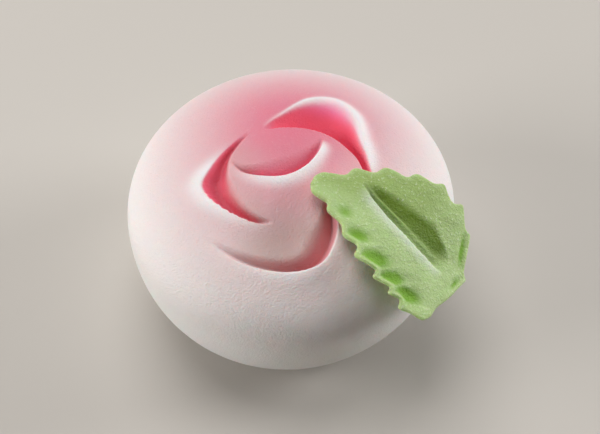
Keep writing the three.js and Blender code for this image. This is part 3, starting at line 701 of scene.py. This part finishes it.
def leaf_lift(flat):
    """How far the leaf rises towards its edges in soft waves, and where a whitish sheen is painted on it.
    """
    axis = np.array(LEAF_END) - np.array(LEAF_TIP)
    axis /= np.linalg.norm(axis)
    from_tip = flat - np.array(LEAF_TIP)
    walked = from_tip @ axis
    beside = from_tip @ np.array([-axis[1], axis[0]]) / HALF_WIDTH
    rise = np.where(beside > 0, BACK_LIFT, FRONT_LIFT) * np.abs(beside) ** LIFT_POWER
    wave = WAVE_HEIGHT * np.cos(2 * math.pi * walked / WAVE_LENGTH) * beside ** 2
    full = smoothstep(0, LIFT_FROM_TIP, np.hypot(*from_tip.T))
    painted_sheen = np.maximum(smoothstep(*SHEEN_BESIDE, beside), SHEEN_AT_END * smoothstep(*SHEEN_FROM_TIP, walked))
    skin = HAND_HEIGHT_ON_LEAF * unevenness(flat, HAND_WAVE_ON_LEAF, seed=11)
    return (rise + wave) * full + skin, painted_sheen


def make_leaf():
    """The leaf: a sheet extruded once, laid over the dome and pinched thin along its edges."""
    bpy.ops.object.select_all(action="DESELECT")
    bpy.ops.mesh.primitive_grid_add(x_subdivisions=LEAF_ROWS, y_subdivisions=LEAF_COLUMNS, size=1.0)
    leaf = bpy.context.object
    leaf.name = "leaf_paste"
    bpy.ops.object.mode_set(mode="EDIT")
    bpy.ops.mesh.select_all(action="SELECT")
    bpy.ops.mesh.extrude_region_move(TRANSFORM_OT_translate={"value": (0, 0, 1)})
    bpy.ops.object.mode_set(mode="OBJECT")
    sheet = read_points(leaf.data)
    row = np.rint((sheet[:, 0] + 0.5) * LEAF_ROWS).astype(int)
    # columns crowd towards both edges, where the leaf is rounded
    across = 0.5 - 0.5 * np.cos(math.pi * np.clip(sheet[:, 1] + 0.5, 0, 1))
    upper = sheet[:, 2] > 0.5
    flat, rim = leaf_sheet(row, across)
    _, inland = nearest_on(rim, flat, LEAF_SPAN)
    thickness = LEAF_RIM + (LEAF_THICKNESS - LEAF_RIM) * smoothstep(0, LEAF_THICKENS_OVER, inland)
    from_edge = 1 - np.clip(inland / LEAF_ROUNDING, 0, 1)
    pinch = LEAF_RIM / 2 * (1 - (1 - from_edge ** LEAF_EDGE_POWER) ** (1 / LEAF_EDGE_POWER))
    rib, dark, painted_highlight = rib_relief(flat)
    hollow = hollow_relief(flat) * smoothstep(*HOLLOWS_FADE_OVER, inland)
    lift, painted_sheen = leaf_lift(flat)
    height = np.where(upper, lift - pinch - rib - hollow, lift - thickness + pinch)
    points = on_dome(make_track(LEAF_GAP + LEAF_THICKNESS, LEAF_LEAVES_AT), *flat.T, height)
    write_points(leaf.data, points)
    write_mask(leaf.data, "shaded_groove", dark)
    write_mask(leaf.data, "painted_highlight", painted_highlight)
    write_mask(leaf.data, "pressed", smoothstep(*HOLLOW_GLOW, hollow / DEEPEST_HOLLOW))
    write_mask(leaf.data, "painted_sheen", painted_sheen)
    write_mask(leaf.data, "lit_rim", 1 - smoothstep(0, RIM_LIGHT_WIDTH, inland))
    close_mesh(leaf)
    bpy.ops.object.shade_smooth()
    return leaf


def close_mesh(piece):
    """Merge the points where a sheet meets itself, and turn its faces outwards."""
    only(piece)
    bpy.ops.object.mode_set(mode="EDIT")
    bpy.ops.mesh.select_all(action="SELECT")
    bpy.ops.mesh.remove_doubles(threshold=1e-6)
    bpy.ops.mesh.normals_make_consistent(inside=False)
    bpy.ops.object.mode_set(mode="OBJECT")


# ---- materials

GRAIN_DETAIL = 3.0
GRAIN_ROUGHNESS = 0.65
LUMPS_PER_GRAIN = 0.3             # lumps are about three times as large as the fine grain
SPECK_GLINT_RANGE = (0.56, 0.72)      # the highest grains catch the light, as painted glints
LIGHT_INSIDE = 0.6                # share of the light that goes into the paste
MIX_COLOURS = (6, 7)              # the Mix node's sockets that hold its colours
MIX_RESULT = 2


def add_node(tree, kind, **settings):
    """A new node with some of its settings."""
    node = tree.nodes.new(kind)
    for name, value in settings.items():
        setattr(node, name, value)
    return node


def make_grain_group():
    """Fine grain of sieved bean paste: a height for bumps and a mask of pale specks and painted glints.

    Grain Size is in millimetres, and Coarseness weighs the larger lumps beside the fine grain.
    """
    group = bpy.data.node_groups.new("paste_grain", "ShaderNodeTree")
    group.interface.new_socket("Grain Size", in_out="INPUT", socket_type="NodeSocketFloat")
    group.interface.new_socket("Coarseness", in_out="INPUT", socket_type="NodeSocketFloat")
    group.interface.new_socket("Height", in_out="OUTPUT", socket_type="NodeSocketFloat")
    group.interface.new_socket("Specks and Glints", in_out="OUTPUT", socket_type="NodeSocketFloat")
    link = group.links.new
    inputs = add_node(group, "NodeGroupInput")
    outputs = add_node(group, "NodeGroupOutput")
    place = add_node(group, "ShaderNodeTexCoord").outputs["Object"]
    per_metre = add_node(group, "ShaderNodeMath", operation="DIVIDE")
    per_metre.inputs[0].default_value = 1 / MM
    link(inputs.outputs["Grain Size"], per_metre.inputs[1])
    fine = add_node(group, "ShaderNodeTexNoise")
    fine.inputs["Detail"].default_value = GRAIN_DETAIL
    fine.inputs["Roughness"].default_value = GRAIN_ROUGHNESS
    link(place, fine.inputs["Vector"])
    link(per_metre.outputs[0], fine.inputs["Scale"])
    lumps = add_node(group, "ShaderNodeTexVoronoi", feature="SMOOTH_F1")
    link(place, lumps.inputs["Vector"])
    link(scaled(group, per_metre.outputs[0], LUMPS_PER_GRAIN), lumps.inputs["Scale"])
    weighed = add_node(group, "ShaderNodeMath", operation="MULTIPLY")
    link(lumps.outputs["Distance"], weighed.inputs[0])
    link(inputs.outputs["Coarseness"], weighed.inputs[1])
    total = add_node(group, "ShaderNodeMath", operation="ADD")
    link(fine.outputs["Fac"], total.inputs[0])
    link(weighed.outputs[0], total.inputs[1])
    link(total.outputs[0], outputs.inputs["Height"])
    link(map_range(group, fine.outputs["Fac"], *SPECK_GLINT_RANGE), outputs.inputs["Specks and Glints"])
    return group


def mix_colours(tree, factor, first, second):
    """The first colour where the factor is 0 and the second where it is 1."""
    mix = add_node(tree, "ShaderNodeMix", data_type="RGBA")
    tree.links.new(factor, mix.inputs[0])
    for number, colour in zip(MIX_COLOURS, (first, second)):
        socket = mix.inputs[number]
        if isinstance(colour, tuple):
            socket.default_value = (*colour, 1)
        else:
            tree.links.new(colour, socket)
    return mix.outputs[MIX_RESULT]


def map_range(tree, value, low, high):
    """0 up to low and 1 from high on."""
    node = add_node(tree, "ShaderNodeMapRange")
    node.inputs["From Min"].default_value = low
    node.inputs["From Max"].default_value = high
    tree.links.new(value, node.inputs["Value"])
    return node.outputs[0]


def scaled(tree, value, factor):
    node = add_node(tree, "ShaderNodeMath", operation="MULTIPLY")
    node.inputs[1].default_value = factor
    tree.links.new(value, node.inputs[0])
    return node.outputs[0]


def mask(tree, name):
    """A value that was written to the mesh's points."""
    return add_node(tree, "ShaderNodeAttribute", attribute_name=name).outputs["Fac"]


def start_material(name):
    material = bpy.data.materials.new(name)
    material.use_nodes = True
    return material, material.node_tree, material.node_tree.nodes["Principled BSDF"]


def add_grain(tree, shader, grain_group, size, coarseness, height):
    """Grain of some size and height, in millimetres, as the shader's bumps."""
    grain = add_node(tree, "ShaderNodeGroup", node_tree=grain_group)
    grain.inputs["Grain Size"].default_value = size
    grain.inputs["Coarseness"].default_value = coarseness
    bump = add_node(tree, "ShaderNodeBump")
    bump.inputs["Distance"].default_value = height * MM
    tree.links.new(grain.outputs["Height"], bump.inputs["Height"])
    tree.links.new(bump.outputs["Normal"], shader.inputs["Normal"])
    return grain


def soft_paste(shader, depth, radius, roughness, specular):
    """Bean paste lets light in to some depth, in millimetres, and is softly shiny."""
    shader.inputs["Subsurface Weight"].default_value = LIGHT_INSIDE
    shader.inputs["Subsurface Radius"].default_value = radius
    shader.inputs["Subsurface Scale"].default_value = depth * MM
    shader.inputs["Roughness"].default_value = roughness
    shader.inputs["Specular IOR Level"].default_value = specular


def make_rose_material(grain_group):
    """Cream paste with a pink blush, rose inside the folds, pale lips that are partly a painted
    highlight, painted shade on the turned-down petals and painted light on the top of the back wall.
    """
    material, tree, shader = start_material("rose_bean_paste")
    cream = (0.88, 0.86, 0.84)
    pink = (0.80, 0.22, 0.31)
    painted_shade = (0.58, 0.395, 0.34)
    rosy = (0.84, 0.16, 0.25)
    red = (0.92, 0.08, 0.155)
    shaded_rose = (0.62, 0.22, 0.23)
    glowing_rose = (1.0, 0.17, 0.38)
    pale_and_lit = (0.95, 0.91, 0.93)
    speck_glint_strength = 0.12
    petal_shade_strength = 0.5
    rubbed_and_lit_strength = 0.85
    turns_rose_over = (0.0, 0.5)      # of the redness
    turns_red_over = (0.4, 1.0)
    shades_over = (0.1, 0.55)          # of the painted petal shade
    grain = add_grain(tree, shader, grain_group, size=0.28, coarseness=0.25, height=0.17)
    blushed = mix_colours(tree, mask(tree, "pinkness"), cream, pink)
    # pale specks on the rose: partly starch grains, partly painted glints
    specked_and_glinting = mix_colours(tree, scaled(tree, grain.outputs["Specks and Glints"], speck_glint_strength), blushed, pale_and_lit)
    # painted shade on the petals where they dip and turn down to their folds
    petal_shaded = mix_colours(tree, scaled(tree, mask(tree, "petal_shade"), petal_shade_strength), specked_and_glinting, painted_shade)
    turning_rose = map_range(tree, mask(tree, "redness"), *turns_rose_over)
    turning_red = map_range(tree, mask(tree, "redness"), *turns_red_over)
    # the same painted shade mutes the rose inside those folds
    shade_share = map_range(tree, mask(tree, "petal_shade"), *shades_over)
    fold_rose = mix_colours(tree, shade_share, rosy, shaded_rose)
    tinted = mix_colours(tree, turning_rose, petal_shaded, fold_rose)
    pressed = mix_colours(tree, turning_red, tinted, red)
    # painted light: the top of the back fold's wall is brightened as if lit through its lip
    wall_lit = mix_colours(tree, mask(tree, "wall_glow"), pressed, glowing_rose)
    # lips partly rubbed free of blush and partly whitened beyond the cream as a painted highlight on
    # their crests
    rubbed_and_lit = mix_colours(tree, scaled(tree, mask(tree, "pale_lit_lips"), rubbed_and_lit_strength), wall_lit, pale_and_lit)
    tree.links.new(rubbed_and_lit, shader.inputs["Base Color"])
    soft_paste(shader, depth=1.2, radius=(1.0, 0.45, 0.35), roughness=0.45, specular=0.4)
    return material


def make_leaf_material(grain_group):
    """Green paste with a painted whitish sheen, saturated green hollows and a paler rim painted for light
    through thin paste, a painted highlight before the midrib, painted shade on the slope behind it, and
    painted glints.
    """
    material, tree, shader = start_material("leaf_bean_paste")
    green = (0.37, 0.51, 0.165)
    sheen_green = (0.49, 0.655, 0.285)
    painted_shade_green = (0.15, 0.26, 0.005)
    lit_through_green = (0.23, 0.46, 0.04)
    rim_light_green = (0.48, 0.62, 0.27)
    sparkle = (0.85, 0.92, 0.70)
    painted_highlight = (0.70, 0.78, 0.62)
    highlight_strength = 0.95
    sparkle_strength = 0.6
    grain = add_grain(tree, shader, grain_group, size=0.35, coarseness=0.7, height=0.24)
    # painted sheen: the front half and the broad end are whitened as if lit
    sheened = mix_colours(tree, mask(tree, "painted_sheen"), green, sheen_green)
    # painted light along the leaf's thin rim
    rim_lit = mix_colours(tree, mask(tree, "lit_rim"), sheened, rim_light_green)
    # painted highlight on the lit rise before the midrib's fine groove
    highlighted = mix_colours(tree, scaled(tree, mask(tree, "painted_highlight"), highlight_strength), rim_lit, painted_highlight)
    # painted glints on the leaf's grain
    glints = scaled(tree, grain.outputs["Specks and Glints"], sparkle_strength)
    sparkling = mix_colours(tree, glints, highlighted, sparkle)
    # painted light: saturated green in the hollows, for light scattered through the thinner paste
    pressed = mix_colours(tree, mask(tree, "pressed"), sparkling, lit_through_green)
    # painted shade on the slope behind the midrib, in its fine groove and on the rise
    groove_shaded = mix_colours(tree, mask(tree, "shaded_groove"), pressed, painted_shade_green)
    tree.links.new(groove_shaded, shader.inputs["Base Color"])
    soft_paste(shader, depth=0.9, radius=(0.6, 1.0, 0.3), roughness=0.5, specular=0.25)
    return material


FLOOR_SIZE = 3.0                  # metres
FLOOR_GAP = 0.05                  # a hair below the underside
FLOOR_COLOUR = (0.58, 0.545, 0.50)
FLOOR_ROUGHNESS = 0.6


def make_floor():
    """A plain pale floor."""
    bpy.ops.object.select_all(action="DESELECT")
    bpy.ops.mesh.primitive_plane_add(size=FLOOR_SIZE, location=(0, 0, -FLOOR_GAP * MM))
    floor = bpy.context.object
    floor.name = "floor"
    material, _, shader = start_material("pale_floor")
    shader.inputs["Base Color"].default_value = (*FLOOR_COLOUR, 1)
    shader.inputs["Roughness"].default_value = FLOOR_ROUGHNESS
    floor.data.materials.append(material)
    return floor


# ---- light and camera

LIGHT_DISTANCE = 0.6              # metres
ROOM_COLOUR = (1.0, 0.92, 0.82)
ROOM_STRENGTH = 0.05


def add_light(name, direction, size, power, colour):
    """A soft round light that looks at the middle of the ball."""
    data = bpy.data.lights.new(name, "AREA")
    data.shape = "DISK"
    data.size = size
    data.energy = power
    data.color = colour
    light = bpy.data.objects.new(name, data)
    bpy.context.scene.collection.objects.link(light)
    towards = Vector(direction).normalized()
    light.location = towards * LIGHT_DISTANCE + Vector((0, 0, WAIST * MM))
    light.rotation_euler = towards.to_track_quat("Z", "Y").to_euler()


def light_scene():
    """A large light over the back and a smaller one from each side, in a dim warm room."""
    add_light("overhead", (-0.21, 0.37, 0.9), size=0.5, power=2.5, colour=(1.0, 0.99, 0.98))
    add_light("left_window", (-0.92, -0.25, 0.3), size=0.3, power=2.3, colour=(1.0, 0.99, 0.98))
    add_light("right_window", (0.88, 0.35, 0.3), size=0.3, power=2.5, colour=(0.98, 0.99, 1.0))
    world = bpy.data.worlds.new("studio")
    world.use_nodes = True
    room = world.node_tree.nodes["Background"]
    room.inputs["Color"].default_value = (*ROOM_COLOUR, 1)
    room.inputs["Strength"].default_value = ROOM_STRENGTH
    bpy.context.scene.world = world
    bpy.context.scene.view_settings.view_transform = "Standard"


def add_camera():
    """A camera that sees the ball as the photograph does, its waist's middle at the same pixel."""
    data = bpy.data.cameras.new("camera")
    data.sensor_width = SENSOR
    data.lens = SENSOR * FOCAL_PIXELS / PICTURE_WIDTH
    data.clip_start = 0.01
    camera = bpy.data.objects.new("camera", data)
    bpy.context.scene.collection.objects.link(camera)
    back = Vector((0, -math.cos(VIEW_ELEVATION), math.sin(VIEW_ELEVATION)))
    right = Vector((1, 0, 0))
    up = back.cross(right)
    roll = Matrix.Rotation(VIEW_ROLL, 3, "Z")
    seen = Vector((
        (WAIST_PIXEL[0] - PICTURE_CENTRE[0]) / FOCAL_PIXELS,
        (PICTURE_CENTRE[1] - WAIST_PIXEL[1]) / FOCAL_PIXELS,
        -1,
    ))
    aim = Vector((0, 0, -1)).rotation_difference(seen).to_matrix()
    turned = (aim @ roll @ Matrix((right, up, back))).transposed()
    place = Vector((0, 0, WAIST)) + VIEW_DISTANCE * back
    camera.matrix_world = Matrix.Translation(place * MM) @ turned.to_4x4()
    bpy.context.scene.camera = camera


# ---- the scene

grain_group = make_grain_group()

rose = make_rose()
rose.data.materials.append(make_rose_material(grain_group))
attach(rose, "root")
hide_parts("rose")

leaf = make_leaf()
leaf.data.materials.append(make_leaf_material(grain_group))
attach(leaf, "root")
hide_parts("leaf")

make_floor()
light_scene()
add_camera()
